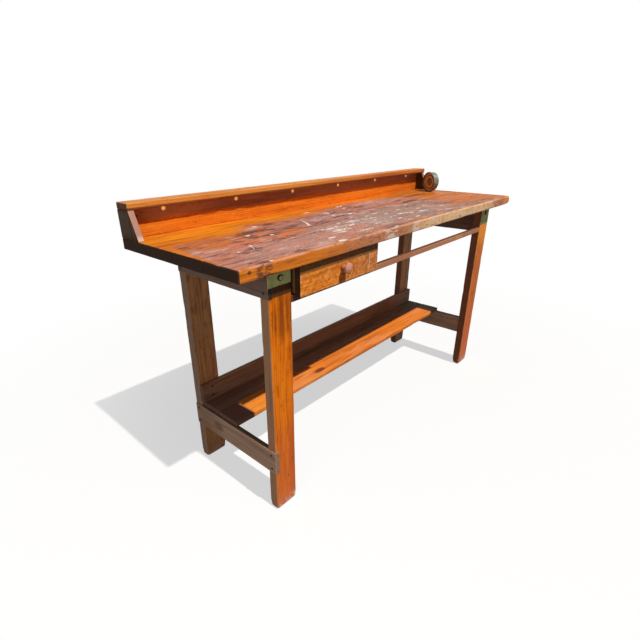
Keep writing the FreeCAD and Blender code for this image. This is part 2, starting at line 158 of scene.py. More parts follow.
class Surface(Graph):
    """The nodes of one material, by places on the bench."""

    def __init__(self, name):
        super().__init__(bpy.data.materials.new(name))
        place = self.new("ShaderNodeTexCoord").outputs["Object"]
        split = self.new("ShaderNodeSeparateXYZ", place)
        self.x, self.y, self.z = (Val(self, out) for out in split.outputs)
        self.along = self.x - MID_X
        self.deep = self.y - FRONT_Y

    def smooth(self, value, low, high):
        """0 at low, 1 at high, with a soft change between."""
        node = self.new("ShaderNodeMapRange", value, low, high, interpolation_type="SMOOTHSTEP")
        return Val(self, node.outputs[0])

    def pattern(self, kind, place, **settings):
        vector = self.new("ShaderNodeCombineXYZ", *place).outputs[0]
        return self.feed(self.new(kind), {"Vector": vector, "Scale": 1.0, **settings})

    def noise(self, place, detail=2.0, roughness=0.5, twist=0.0):
        node = self.pattern("ShaderNodeTexNoise", place, Detail=detail, Roughness=roughness, Distortion=twist)
        return Val(self, node.outputs["Fac"])

    def even_noise(self, scale, detail=2.0, roughness=0.5):
        """Noise of the same size in all directions."""
        return self.noise((self.x * scale, self.y * scale, self.z * scale), detail, roughness)

    def cells(self, place):
        """Distance to the nearest of many scattered points."""
        return Val(self, self.pattern("ShaderNodeTexVoronoi", place).outputs["Distance"])

    def facing(self, letter):
        """How squarely a surface faces along one axis, either way: 0 to 1."""
        normal = self.new("ShaderNodeNewGeometry").outputs["Normal"]
        split = self.new("ShaderNodeSeparateXYZ", normal)
        return self.math("ABSOLUTE", Val(self, split.outputs[letter]))

    def mix(self, share, first, second):
        node = self.new("ShaderNodeMix", data_type="RGBA")
        for index, value in ((0, share), (6, first), (7, second)):
            self.put(node.inputs[index], value)
        return node.outputs[2]

    def distance(self, one, two):
        return self.math("SQRT", one * one + two * two)

    def spot(self, x, y, middle, reach, soft):
        """1 inside an ellipse in two coordinates, with a soft rim."""
        across = (x - middle[0]) / reach[0]
        along = (y - middle[1]) / reach[1]
        return self.smooth(across * across + along * along, 1 + soft, 1 - soft)

    def mark(self, row, x, y, soft, scale=1.0):
        """A spot from a table in millimetres."""
        across, inward, reach, breadth = (value / 1000 for value in row)
        return self.spot(x, y, (across, inward), (reach * scale, breadth * scale), soft)

    def stroke(self, x, y, start, end, half):
        """1 along a line between two points, with a soft rim."""
        way = (end[0] - start[0], end[1] - start[1])
        length = way[0] * way[0] + way[1] * way[1]
        from_x = x - start[0]
        from_y = y - start[1]
        share = (from_x * way[0] + from_y * way[1]) / length
        share = self.least(self.most(share, 0.0), 1.0)
        off_x = from_x - share * way[0]
        off_y = from_y - share * way[1]
        return self.smooth(off_x * off_x + off_y * off_y, half * half * 1.8, half * half * 0.6)

    def close(self, colour, rough, height, depth, metal=0.0, sheen=0.08):
        """Ends the material with a surface, its roughness and its relief."""
        bump = self.new("ShaderNodeBump")
        self.feed(bump, {"Strength": BUMP_STRENGTH, "Distance": depth, "Height": height})
        surface = self.new("ShaderNodeBsdfPrincipled")
        self.feed(surface, {"Base Color": colour, "Roughness": rough, "Metallic": metal,
                            "Specular IOR Level": sheen, "Normal": bump.outputs[0]})
        self.new("ShaderNodeOutputMaterial", surface.outputs[0])
        return self.owner


AXES = "XYZ"
# Grain runs, then the wide and the thin way of a board
LENGTHWISE = "XYZ"
LENGTHWISE_ON_EDGE = "XZY"
UPRIGHT = "ZXY"
UPRIGHT_ON_END = "ZYX"
ENDWISE_ON_EDGE = "YZX"
ENDWISE = "YXZ"

RING = 0.0062
VARNISH_ROUGHNESS = 0.42
WOOD_RELIEF = 0.0009
END_GRAIN = (70, 46, 32)
PORES = (60, 32, 16)
RUBBED = (226, 170, 118)
EVERYWHERE = 1.0


class Wood(Surface):
    """A pine board: growth rings, streaks, fibres, dark end grain and rubbed edges."""

    def __init__(self, name, box, order, colours, seed,
                 worn=0.004, sawn=0.0, end_tone=END_GRAIN, end_dark=0.72):
        super().__init__(name)
        self.seed = seed
        self.low, self.high = low, high = box
        self.colour, self.dark, pale = colours
        by_axis = dict(zip(AXES, (self.x, self.y, self.z)))
        run, wide, thin = (by_axis[letter] for letter in order)
        wide_low, thin_low = (low[AXES.index(letter)] for letter in order[1:])
        wide_high = high[AXES.index(order[1])]
        shifted = (run + seed * 1.37 % 5, wide + seed * 2.11 % 3, thin + seed * 0.73 % 4)

        def grain(along_it, across_it, detail, roughness=0.5):
            scales = (along_it, across_it, across_it)
            return self.noise([value * scale for value, scale in zip(shifted, scales)], detail, roughness)

        # Rings around a heart that lies outside the board, drifting along it
        wander = grain(1.3, 7, 2.0)
        heart_wide = wide_low + (wide_high - wide_low) * (0.2 + 0.6 * (seed * 0.618 % 1))
        heart_thin = thin_low - 0.03 - 0.03 * (seed * 0.377 % 1)
        radius = self.distance(wide - heart_wide, thin - heart_thin)
        band = self.math("FRACT", (radius + run * 0.006 + wander * 0.05) / RING)
        self.ring = self.smooth(band, 0.25, 0.85) - self.smooth(band, 0.88, 1.0)

        self.streak = grain(1.8, 42, 3.0, 0.6)
        self.fibre = grain(9, 330, 2.0, 0.6)
        self.blotch = grain(5, 11, 3.0, 0.55)
        self.speck = grain(120, 190, 2.0, 0.6)

        self.colour = self.mix(self.ring * self.streak * 0.8, self.colour, self.dark)
        for field, start, full, strength, colour in (
                (self.streak, 0.48, 0.74, 0.6, self.dark), (self.streak, 0.5, 0.28, 0.5, pale),
                (self.fibre, 0.5, 0.78, 0.3, self.dark), (self.blotch, 0.52, 0.78, 0.4, self.dark),
                (self.speck, 0.66, 0.78, 0.5, PORES)):
            self.colour = self.mix(self.smooth(field, start, full) * strength, self.colour, colour)

        # End grain drinks varnish and goes dark
        end = self.smooth(self.facing(order[0]), 0.62, 0.9)
        self.colour = self.mix(end * end_dark, self.colour, end_tone)

        # Edges are rubbed to bare wood
        right_end = high.x - (high.y - self.y) * sawn if sawn else high.x
        gaps = [self.least(self.x - low.x, right_end - self.x),
                self.least(self.y - low.y, high.y - self.y),
                self.least(self.z - low.z, high.z - self.z)]
        self.edge = gaps[0] + gaps[1] + gaps[2] - self.most(*gaps) - self.least(*gaps)
        self.rough = VARNISH_ROUGHNESS + self.ring * 0.08 + self.blotch * 0.12
        if worn:
            rub = self.smooth(self.edge + (self.blotch - 0.5) * worn * 2.4, worn, 0.0003)
            rub = rub * self.smooth(self.streak, 0.3, 0.62) * (1 - end * 0.8)
            self.colour = self.mix(rub * 0.6, self.colour, RUBBED)
            self.rough = self.rough + rub * 0.25
        self.height = self.ring * 0.25 + self.fibre * 0.45 + self.speck * 0.3 - end * 0.2

    def layer(self, share, colour, rough, raise_by=0.0):
        """Paint, dirt or wear over what is there."""
        self.colour = self.mix(share, self.colour, colour)
        self.rough = self.rough + share * (rough - self.rough)
        if raise_by:
            self.height = self.height + share * raise_by

    def layers(self, area, *rows):
        """Layers in an area. A row: a field, its values for none and all, strength, colour, roughness."""
        for field, none, full, strength, colour, rough in rows:
            self.layer(area * self.smooth(field, none, full) * strength, colour, rough)

    def done(self):
        return self.close(self.colour, self.rough, self.height, WOOD_RELIEF)


# Colours of the bench's timbers: body, dark grain, pale grain
TOP = ((222, 122, 34), (150, 72, 22), (238, 156, 52))
BACK = ((240, 130, 30), (176, 84, 22), (250, 164, 62))
CAP = ((228, 144, 60), (172, 94, 34), (242, 180, 100))
LEG = ((250, 130, 18), (160, 70, 14), (255, 160, 44))
RIGHT_LEG = ((222, 116, 34), (146, 70, 26), (240, 146, 62))
BACK_LEG = ((226, 160, 104), (140, 88, 52), (240, 180, 126))
FAR_LEG = ((250, 192, 136), (170, 118, 76), (254, 210, 162))
SHELF = ((238, 132, 44), (172, 80, 26), (248, 168, 84))
BACK_SHELF = ((184, 138, 110), (120, 86, 68), (200, 158, 130))
END_BOARDS = ((86, 57, 24), (50, 34, 16), (106, 74, 34))
END_RAILS = ((142, 114, 98), (92, 72, 62), (160, 134, 116))
STRETCHERS = ((222, 174, 142), (148, 110, 86), (236, 198, 168))
BACK_STRETCHER = ((178, 130, 98), (112, 76, 56), (196, 150, 118))
RAIL = ((196, 133, 96), (138, 84, 58), (209, 156, 123))
DRAWER = ((255, 150, 48), (186, 94, 30), (255, 184, 100))
INSIDE = ((206, 150, 96), (150, 96, 54), (224, 176, 124))
# Painted shade: hangers and runners are coloured dark for the shade they stand in
HANGER_SHADE = ((70, 48, 36), (48, 33, 25), (84, 60, 46))
KNOB = ((206, 128, 90), (140, 80, 54), (226, 160, 122))
WHITE_PAINT = (236, 230, 220)
GREEN_PAINT = (238, 240, 158)
# Greenish dark of the painted shade at the shelf's right end
SCORCH = (66, 48, 48)
SHADE_GREEN = (134, 132, 100)
TOP_END = (68, 49, 39)


def paint_front(wood, paint_foot):
    """Old green paint on the front of a leg's top, flaked along its lower rim, with painted shade under it
    and below it, where the top's overhang shades the leg.
    """
    face_y = wood.low.y
    front = wood.smooth(wood.y, face_y + 0.012, face_y + 0.006) * wood.smooth(wood.facing("X"), 0.85, 0.55)
    # Painted shadow of the top's overhang: the front is darkened from 116 mm under the top surface upward,
    # and the paint covers the upper part of it
    wood.layers(front, (wood.z, TOP_Z - 0.122, TOP_Z - 0.116, 0.9, (50, 40, 27), 0.6))
    ragged = wood.z + wood.speck.sway(0.006) + wood.blotch.sway(0.008)
    paint = wood.smooth(ragged, paint_foot - 0.0006, paint_foot + 0.0012) * front
    wood.layer(paint * wood.smooth(wood.speck, 0.74, 0.68), GREEN_PAINT, 0.55, 0.5)
    wood.layers(
        paint,
        (wood.streak, 0.5, 0.75, 0.35, (110, 126, 72), 0.6),
        (wood.z, TOP_Z - 0.102, TOP_Z - 0.109, 0.85, (66, 70, 42), 0.6))


def leg_wood(wood, side_tone_and_shade, red, paint_foot=None, gold=0.0, dull=0.0):
    low, high = wood.low, wood.high
    x, y, z = wood.x, wood.y, wood.z
    blotch, streak, smooth = wood.blotch, wood.streak, wood.smooth
    lines = wood.noise((x * 120, y * 120, z * 7 + wood.seed), 4.0, 0.7, 0.5)
    smudge = wood.noise((x * 42, y * 42, z * 16 + wood.seed), 4.0, 0.65)
    wood.layers(smooth(blotch, 0.35, 0.6), (lines, 0.52, 0.66, 0.6, wood.dark, 0.5))
    wood.layers(EVERYWHERE, (smudge + z * 0.12, 0.58, 0.72, 0.55, wood.dark, 0.5))
    if dull:
        patch = wood.spot(x + lines.sway(0.05), z + blotch.sway(0.1),
                          ((low.x + high.x) / 2 + 0.008, TOP_Z - 0.185), (0.030, 0.075), 0.8)
        wood.layers(patch, (streak, 0.36, 0.56, dull, (128, 60, 12), 0.5))
    if gold:
        # The varnish is thick and golden under the paint
        height = z + blotch.sway(0.2)
        wood.layers(EVERYWHERE, (height, TOP_Z - 0.27, TOP_Z - 0.19, gold, (246, 150, 14), 0.45))
    # The narrow sides get a greyer tone of their own; on the right-hand legs it is darker, painted shade
    side = smooth(wood.facing("X"), 0.6, 0.92) * 0.85
    wood.layer(side, side_tone_and_shade, 0.6)
    wood.layers(side, (streak, 0.48, 0.7, 0.4, (110, 78, 60), 0.6))
    # Dark worn rim on the right, red below
    face = 1 - side
    to_right = high.x - x
    wood.layers(face, (to_right + lines.sway(0.012), 0.006, 0.001, 0.65, (120, 46, 18), 0.5))
    lower_half = smooth(z, 0.5, 0.25)
    wood.layers(lower_half * face, (to_right + blotch.sway(0.06), 0.05, 0.0, red, (176, 66, 30), 0.5))
    # Redder and scuffed pink towards the floor
    wood.layers(face, (z + blotch.sway(0.3), 0.42, 0.12, red, (214, 104, 58), 0.55))
    foot_part = smooth(z + blotch.sway(0.16), 0.085, 0.0)
    wood.layers(foot_part, (streak, 0.34, 0.6, red, (206, 146, 118), 0.75))
    scuffs = wood.noise((x * 90, y * 90, z * 70), 4.0, 0.7)
    heel = smooth(z - (x - low.x) * 0.25 + scuffs.sway(0.06), 0.032, 0.008) * face
    wood.layers(heel, (scuffs, 0.44, 0.58, 0.85, (236, 190, 170), 0.75))
    bruised = smooth(blotch, 0.4, 0.6) * face
    wood.layers(bruised, (scuffs, 0.60, 0.68, 0.55, (84, 38, 16), 0.6))
    wood.layers(EVERYWHERE, (z + blotch * 0.02, 0.022, 0.008, 0.5, (96, 70, 56), 0.85))
    if paint_foot is not None:
        paint_front(wood, paint_foot)


# Marks on the top, in millimetres: middle along and in from the front edge, reach along and across
SPLASHES = (
    (-195, 190, 34, 14), (-340, 124, 50, 16), (-85, 174, 40, 13), (-285, 60, 24, 12), (95, 144, 26, 11),
    (210, 110, 28, 10), (-100, 330, 14, 8), (-105, 380, 14, 7), (-45, 300, 22, 9), (90, 290, 16, 7),
    (-372, 98, 30, 10), (-150, 95, 16, 8), (20, 225, 30, 8), (330, 175, 12, 7), (300, 50, 26, 10),
    (-30, 50, 14, 9), (-240, 150, 26, 9), (-130, 235, 14, 7), (5, 135, 26, 8), (-395, 170, 16, 8),
)
# Small round drops
DROPS = (
    (-489, 392, 9, 9), (-606, 292, 8, 8), (-544, 245, 7, 7), (-693, 179, 6, 6), (-764, 144, 4, 5),
    (184, 113, 16, 8), (123, 124, 11, 6), (77, 143, 30, 5), (-768, 10, 6, 6), (-170, 12, 10, 7),
    (-60, 215, 12, 5), (30, 186, 16, 4), (-115, 140, 12, 6), (-20, 90, 14, 5), (-250, 205, 10, 5),
    (150, 205, 18, 4), (240, 160, 14, 5), (60, 60, 16, 5), (300, 255, 14, 4), (-310, 170, 9, 5),
    (380, 120, 16, 4), (-468, 16, 18, 10), (-457, 67, 18, 6), (-347, 165, 20, 6), (46, 410, 10, 6),
    (-124, 331, 10, 6), (-56, 303, 12, 7), (65, 460, 14, 6), (-145, 457, 16, 5), (-105, 391, 10, 6),
)
SCORCHES = (
    (-602, 300, 22, 36), (-545, 334, 66, 16), (-545, 250, 56, 11), (-492, 306, 20, 28),
    (-425, 392, 32, 20), (-725, 136, 40, 24), (-645, 24, 26, 12), (-800, 22, 46, 16),
    (275, 222, 60, 22), (-130, 296, 60, 12), (20, 112, 55, 14), (-260, 360, 55, 11), (120, 385, 55, 12),
    (400, 300, 65, 16), (-300, 240, 60, 14), (640, 405, 110, 30), (-415, 160, 50, 10),
    (-560, 180, 80, 10),
)
# Places where the varnish is whole inside the worn area
KEPT = (
    (-455, 234, 60, 28), (770, 170, 130, 70), (-780, 250, 70, 16), (-730, 270, 60, 10),
    (-200, 420, 100, 14),
)
# Dribbles of paint: along and inward from, along and inward to, half width
DRIBBLES = (
    (-352, 256, -318, 300, 3.6), (-318, 300, -300, 338, 2.4), (-714, 136, -693, 179, 1),
    (-112, 366, -96, 392, 3), (70, 446, 100, 470, 2.6),
)
# Tints of the worn wood: mark, colour
TINTS = (
    ((-700, 320, 240, 110), (186, 102, 52)), ((-680, 110, 300, 160), (184, 130, 118)),
    ((-110, 270, 380, 170), (154, 118, 116)), ((230, 120, 440, 180), (156, 128, 116)),
    ((330, 430, 260, 90), (190, 142, 126)), ((490, 140, 110, 130), (134, 96, 78)),
)
# Dusty haze: mark, strength
HAZES = (
    ((-220, 135, 280, 90), 1.0), ((-640, 100, 150, 45), 0.75), ((-480, 70, 260, 60), 0.7),
    ((280, 440, 160, 50), 0.5), ((140, 160, 340, 120), 0.6),
)
# Scattered drops: how close, how large
SCATTER = ((30, 0.9), (74, 1.2))
WORN_PINK = (176, 106, 78)
WORN_DARK = (82, 54, 52)
WORN_SALMON = (214, 126, 84)
WORN_ORANGE = (222, 110, 40)
WORN_PALE = (208, 172, 162)
DUST = (196, 178, 174)


def top_wood(wood, at_front):
    low, high = wood.low, wood.high
    along, deep, smooth = wood.along, wood.deep, wood.smooth
    upper = smooth(wood.z, high.z - 0.006, high.z - 0.002)
    patchy = wood.noise((along * 3.1, deep * 16, 1.7), 4.0, 0.6)
    cloudy = wood.noise((along * 11, deep * 26, 6.6), 4.0, 0.65)
    stripy = wood.noise((along * 6, deep * 70, 5.2), 5.0, 0.7)
    scratchy = wood.noise((along * 20, deep * 170, 8.8), 3.0, 0.65)

    # The varnish is golden at the back on the left, bright at the back on the right
    gold = smooth(along, 0.1, -0.5) * smooth(deep, 0.34, 0.44) * upper
    wood.layers(gold, (stripy, 0.56, 0.44, 0.7, (250, 148, 14), 0.42))
    bright = smooth(along, -0.2, 0.2) * smooth(along, 0.62, 0.50) * upper
    wood.layers(bright, (deep, 0.44, 0.50, 0.6, (255, 138, 26), 0.42))

    # It is streaked brown towards the right end
    brown = smooth(along + patchy.sway(0.3), 0.36, 0.56) * upper
    wood.layers(brown, (stripy, 0.44, 0.58, 0.6, (150, 78, 34), 0.5))
    to_end = high.x - (high.y - wood.y) * RUN_OUT - wood.x
    burnt = smooth(to_end + cloudy.sway(0.08), 0.085, 0.04) * smooth(deep, 0.27, 0.36)
    burnt = wood.most(burnt, smooth(to_end + cloudy.sway(0.03), 0.020, 0.006) * 0.7)
    wood.layer(burnt * upper * 0.7, (126, 66, 40), 0.5)

    # The varnish has gone in front of a wandering line, except at the right end
    line = (0.345 + smooth(along, -0.62, -0.48) * 0.085 + smooth(along, -0.30, -0.05) * 0.04
            - smooth(along, 0.35, 0.80) * 0.12)
    worn = smooth(deep - line + patchy.sway(0.16) + stripy.sway(0.12), 0.03, -0.03) * upper
    worn = worn * smooth(along + patchy.sway(0.03) - deep * 0.11, -0.896, -0.882)
    right_limit = along + patchy.sway(0.3) - smooth(deep, 0.09, 0.02) * 0.22
    worn = worn * (1 - smooth(right_limit, 0.46, 0.60) * 0.95)
    # Marks keep a ragged outline
    rag_along = along + wood.noise((along * 34, deep * 52, 4.2), 4.0, 0.7).sway(0.16)
    rag_deep = deep + wood.noise((along * 34, deep * 52, 9.1), 4.0, 0.7).sway(0.075)

    def crosses(inward, breadth):
        return low.y - 2 * breadth < FRONT_Y + inward < high.y + 2 * breadth

    def here(table):
        return [row for row in table if crosses(row[1] / 1000, row[3] / 1000)]

    for row in here(KEPT):
        worn = worn * (1 - wood.mark(row, rag_along, rag_deep, 0.7) * 0.85)

    # Bare wood in a few tints, streaked dark, salmon and pale along the grain
    bare = WORN_PINK
    for row, tint in TINTS:
        share = wood.mark(row, rag_along + patchy.sway(0.2), rag_deep + patchy.sway(0.08), 0.8)
        bare = wood.mix(share, bare, tint)
    wood.layer(worn * 0.86, bare, 0.6)
    wood.layers(
        worn,
        (patchy, 0.46, 0.34, 0.55, WORN_ORANGE, 0.55),
        (stripy, 0.47, 0.36, 0.8, WORN_SALMON, 0.62),
        (cloudy, 0.53, 0.66, 0.75, WORN_DARK, 0.66),
        (stripy, 0.54, 0.65, 0.7, WORN_DARK, 0.66),
        (cloudy, 0.46, 0.36, 0.65, WORN_PALE, 0.66),
        (scratchy, 0.55, 0.66, 0.55, WORN_DARK, 0.66),
        (scratchy, 0.44, 0.34, 0.5, WORN_PALE, 0.66))
    # Dark pores and scratches in the varnish that is left
    wood.layers(upper, (scratchy, 0.55, 0.68, 0.5, (120, 62, 26), 0.5))
    grain = wood.noise((along * 2.4, deep * 120, 2.9), 4.0, 0.7)
    wood.layers(
        upper * (1 - worn),
        (grain, 0.53, 0.64, 0.5, (164, 82, 20), 0.45),
        (grain, 0.46, 0.36, 0.35, (255, 176, 50), 0.42))

    cloud = 0.0
    for row, strength in HAZES:
        cloud = wood.most(cloud, wood.mark(row, along, deep, 0.9) * strength)
    dusty = cloudy * 0.4 + stripy * 0.3 + scratchy * 0.3
    wood.layers(cloud * worn, (dusty, 0.49, 0.60, 0.78, DUST, 0.75))

    for row in here(SCORCHES):
        mark = wood.mark(row, rag_along, rag_deep, 0.7)
        wood.layers(mark * upper, (stripy, 0.40, 0.54, 0.85, SCORCH, 0.6))
    flaked = smooth(wood.noise((along * 110, deep * 190, 3.9), 3.0, 0.6), 0.60, 0.48)
    for row in here(SPLASHES):
        mark = wood.mark(row, rag_along, rag_deep, 0.4, 0.8)
        wood.layer(mark * upper * flaked * 0.9, WHITE_PAINT, 0.6, 0.5)
    for row in here(DROPS):
        wood.layer(wood.mark(row, along, deep, 0.4) * upper * 0.95, WHITE_PAINT, 0.6, 0.5)
    for row in DRIBBLES:
        from_x, from_y, to_x, to_y, half = (value / 1000 for value in row)
        if crosses((from_y + to_y) / 2, abs(to_y - from_y)):
            mark = wood.stroke(along, deep, (from_x, from_y), (to_x, to_y), half)
            wood.layer(mark * upper * 0.9, WHITE_PAINT, 0.6, 0.5)

    # Fine flecks and small drops, thick in the middle and front, few elsewhere
    flecks = wood.noise((along * 60, deep * 150, 7.1), 4.0, 0.7)
    flecks = smooth(flecks + cloud * 0.06, 0.64, 0.69) * (cloud * 0.85 + 0.15)
    wood.layer(flecks * worn * 0.9, WHITE_PAINT, 0.6, 0.3)
    thin_out = wood.noise((along * 13, deep * 23, 2.4), 3.0)
    crowd = smooth(thin_out + cloud * 0.22 + worn * 0.05, 0.60, 0.90)
    for density, size in SCATTER:
        field = wood.cells((rag_along * density, rag_deep * density * 1.5, density * 0.01))
        drops = smooth(field, (crowd * 0.22 + 0.02) * size, crowd * 0.12 * size) * crowd
        wood.layer(drops * upper * 0.9, WHITE_PAINT, 0.6, 0.4)

    if at_front:
        dress_front_edge(wood)
    # The left end is darkened to near black, down into the joints
    end_face = smooth(wood.facing("Z"), 0.96, 0.8)
    wood.layers(end_face, (wood.x, low.x + 0.0045, low.x + 0.0015, 0.95, TOP_END, 0.8))


# Runs of paint on the top's front edge: place, half width
DRIPS = ((-0.222, 0.034), (-0.056, 0.020), (0.075, 0.008), (0.31, 0.010))


def dress_front_edge(wood):
    """The front edge of the top: orange at the left, drips of paint, a knot, mottled to the right."""
    along, z, smooth = wood.along, wood.z, wood.smooth
    face = smooth(wood.deep, 0.010, 0.003)
    stripes = wood.noise((along * 6, z * 150, 2.2), 4.0, 0.65)
    mottle = wood.noise((along * 30, z * 80, 7.7), 4.0, 0.7)
    fine = wood.noise((along * 70, z * 130, 1.9), 4.0, 0.7)
    wood.layer(face * 0.8, (226, 126, 42), 0.5)
    wood.layers(
        face,
        (stripes, 0.48, 0.38, 0.7, (244, 150, 52), 0.5),
        (stripes, 0.53, 0.64, 0.7, (128, 68, 30), 0.5))
    middle = smooth(along + mottle.sway(0.4), -0.58, -0.36) * face
    wood.layer(middle * 0.75, (190, 132, 106), 0.6)
    wood.layers(
        middle,
        (mottle, 0.52, 0.64, 0.65, (126, 84, 62), 0.65),
        (fine, 0.46, 0.36, 0.6, (226, 150, 96), 0.6),
        (fine, 0.55, 0.64, 0.65, (96, 68, 56), 0.65))
    right = smooth(along + mottle.sway(0.3), -0.16, 0.08) * face
    right = right * smooth(along + mottle.sway(0.2), 0.74, 0.54)
    wood.layer(right * 0.85, (252, 212, 164), 0.65)
    wood.layers(
        right,
        (mottle, 0.50, 0.60, 0.75, (226, 178, 130), 0.65),
        (mottle, 0.46, 0.36, 0.7, (238, 192, 160), 0.65),
        (fine, 0.46, 0.36, 0.6, (232, 148, 76), 0.6),
        (fine, 0.54, 0.64, 0.54, (128, 94, 70), 0.65),
        (mottle, 0.60, 0.68, 0.7, (104, 74, 54), 0.65))
    wood.layers(
        face,
        (along, 0.76, 0.84, 0.6, (244, 142, 48), 0.5),
        (mottle, 0.62, 0.70, 0.6, (96, 54, 32), 0.6))
    rag = along + wood.noise((along * 60, z * 90, 3.3), 4.0, 0.7).sway(0.09)
    for place, half in DRIPS:
        off = rag - place
        drip = smooth(off * off, half * half * 1.3, half * half * 0.5)
        wood.layer(drip * face * smooth(mottle, 0.60, 0.48) * 0.8, (236, 208, 190), 0.6, 0.4)
    off = along + 0.800 + mottle.sway(0.07)
    knot = smooth(off * off, 0.0010, 0.0002) * smooth(mottle, 0.36, 0.50)
    wood.layers(knot, (wood.deep, 0.035, 0.010, 0.85, (88, 52, 48), 0.6))
    hole = wood.spot(along, z, (-0.852, TOP_Z - 0.012), (0.006, 0.005), 0.5)
    wood.layer(hole * face * 0.8, (80, 44, 30), 0.6)
    # A rubbed pink rim along the upper edge
    rim = face * smooth(z, TOP_Z - 0.006, TOP_Z - 0.002)
    wood.layers(rim, (mottle, 0.58, 0.44, 0.6, (226, 170, 140), 0.6))


hole_boxes = [entry["box_m"] for entry in record["physics"]["openings"]
              if entry["name"].startswith("tool_hole")]
hole_middles = [(Vector(low) + Vector(high)) / 2 for low, high in hole_boxes]
TOOL_HOLE_RADIUS = 0.0105
# The painted spots of light behind the holes lie close under the cap
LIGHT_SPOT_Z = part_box("backboard")[1].z - 0.0105
LIGHT_SPOT_REACH = (0.0085, 0.0075)


def back_wood(wood):
    """The backboard: browner above, under the cap, as painted shade, with painted spots of light behind the
    cap's holes and one small knot.
    """
    # Painted shade: browner and darker above the line where the cap's shadow ends
    rag = wood.blotch.sway(0.02)
    brown = wood.smooth(wood.z + rag, TOP_Z + 0.040, TOP_Z + 0.060)
    wood.layer(brown * 0.8, (178, 122, 88), 0.5)
    wood.layers(brown, (wood.streak, 0.46, 0.66, 0.5, (112, 66, 46), 0.5))
    # Painted light: pale spots on the board behind the cap's holes, where light through the holes falls
    front = wood.smooth(wood.y, wood.low.y + 0.006, wood.low.y + 0.003)
    for middle in hole_middles:
        rubbed = wood.spot(wood.x, wood.z, (middle.x, LIGHT_SPOT_Z), LIGHT_SPOT_REACH, 0.5)
        wood.layer(rubbed * front * 0.8, (255, 190, 108), 0.6)
    marks = wood.noise((wood.along * 26, 0.4, wood.z * 80), 4.0, 0.7)
    wood.layers(EVERYWHERE, (marks, 0.57, 0.66, 0.45, (150, 74, 26), 0.5))
    wood.layers(1 - brown, (marks, 0.44, 0.34, 0.4, (252, 158, 60), 0.5))
    knot = wood.spot(wood.along + rag, wood.z, (-0.845, TOP_Z + 0.067), (0.010, 0.006), 0.7)
    wood.layer(knot * 0.6, (70, 36, 22), 0.5)


def cap_wood(wood):
    """The cap: rubbed pale at the left, more of its varnish left at the right, dark below."""
    height = wood.z + wood.blotch.sway(0.003)
    wood.layers(
        EVERYWHERE,
        (wood.along + wood.blotch.sway(0.5), -0.15, 0.55, 0.7, (214, 122, 52), 0.5),
        (wood.streak, 0.5, 0.68, 0.5, (160, 86, 40), 0.55),
        (wood.speck, 0.60, 0.72, 0.4, (120, 66, 34), 0.6),
        (height, wood.high.z - 0.0135, wood.high.z - 0.0155, 0.85, (116, 60, 34), 0.6))


def end_board_wood(wood):
    """Dark outside, with the sloping front edge bare and pink."""
    foot_z = wood.low.z
    edge = wood.smooth(wood.facing("X"), 0.75, 0.3) * wood.smooth(wood.facing("Z"), 0.9, 0.7)
    wood.layer(edge * (0.65 + wood.streak * 0.4), (192, 146, 128), 0.65)
    wood.layers(edge, (wood.blotch, 0.5, 0.7, 0.5, (128, 88, 70), 0.65))
    wood.layers(
        1 - edge,
        (wood.z + wood.blotch.sway(0.05), foot_z + 0.03, foot_z, 0.8, (62, 44, 26), 0.7),
        (wood.edge, 0.010, 0.002, 0.6, (62, 44, 26), 0.7))
    wood.layers(edge, (wood.z, foot_z + 0.022, foot_z + 0.004, 0.6, (232, 206, 186), 0.7))


def stretcher_wood(wood):
    """Greyed board, browner towards the back, with one knot, dark above as painted shade, grey at its front
    end.
    """
    low, high = wood.low, wood.high
    length = high.y - low.y
    forward = (high.y - wood.y) / length
    wood.layers(EVERYWHERE, (forward + wood.blotch.sway(0.3), 0.45, 0.1, 0.6, (146, 104, 70), 0.6))
    knot = wood.spot(wood.y + wood.blotch.sway(0.02), wood.z,
                     (high.y - length * 0.31, (low.z + high.z) / 2), (0.026, 0.017), 0.8)
    wood.layer(knot * 0.6, (104, 70, 44), 0.55)
    front = wood.facing("Y")
    wood.layers(
        EVERYWHERE,
        (wood.blotch, 0.42, 0.3, 0.5, (214, 188, 168), 0.65),
        (front, 0.62, 0.9, 0.9, (150, 116, 96), 0.7))
    wood.layers(wood.smooth(front, 0.62, 0.9), (wood.speck, 0.5, 0.65, 0.6, (92, 68, 54), 0.7))
    # Painted shade: the top face is darkened
    wood.layers(EVERYWHERE, (wood.facing("Z"), 0.7, 0.92, 0.8, (94, 86, 66), 0.75))


# Dark marks on the shelf, as on the top
SHELF_MARKS = (
    (-268, 275, 30, 16), (205, 297, 26, 6),
)


def shelf_wood(wood):
    along, deep = wood.along, wood.deep
    patchy = wood.noise((along * 4, deep * 14, 3.6), 3.0, 0.6)
    # Fine dark lines along the grain
    lines = wood.noise((along * 5, deep * 210, 4.4), 4.0, 0.7)
    wood.layers(
        EVERYWHERE,
        (patchy, 0.5, 0.38, 0.6, (240, 146, 84), 0.55),
        (along, -0.45, -0.6, 0.6, (240, 142, 30), 0.45),
        (patchy, 0.52, 0.62, 0.5, (214, 110, 24), 0.45),
        (along + patchy.sway(0.6), 0.12, 0.36, 0.5, (236, 126, 16), 0.45),
        (lines, 0.52, 0.66, 0.55, (150, 66, 18), 0.5),
        (lines, 0.46, 0.36, 0.35, (252, 176, 100), 0.5))
    rag = wood.blotch.sway(0.04)
    for row in SHELF_MARKS:
        mark = wood.mark(row, along + rag, deep + rag * 0.5, 0.7)
        wood.layers(mark, (lines, 0.43, 0.55, 0.9, (112, 50, 36), 0.6))
    # Painted shadows of the legs: both ends are darkened beside the legs, greenish at the right
    wood.layers(
        EVERYWHERE,
        (along, -0.655, -0.672, 0.9, (118, 90, 82), 0.65),
        (along, 0.672, 0.69, 0.9, SHADE_GREEN, 0.65))


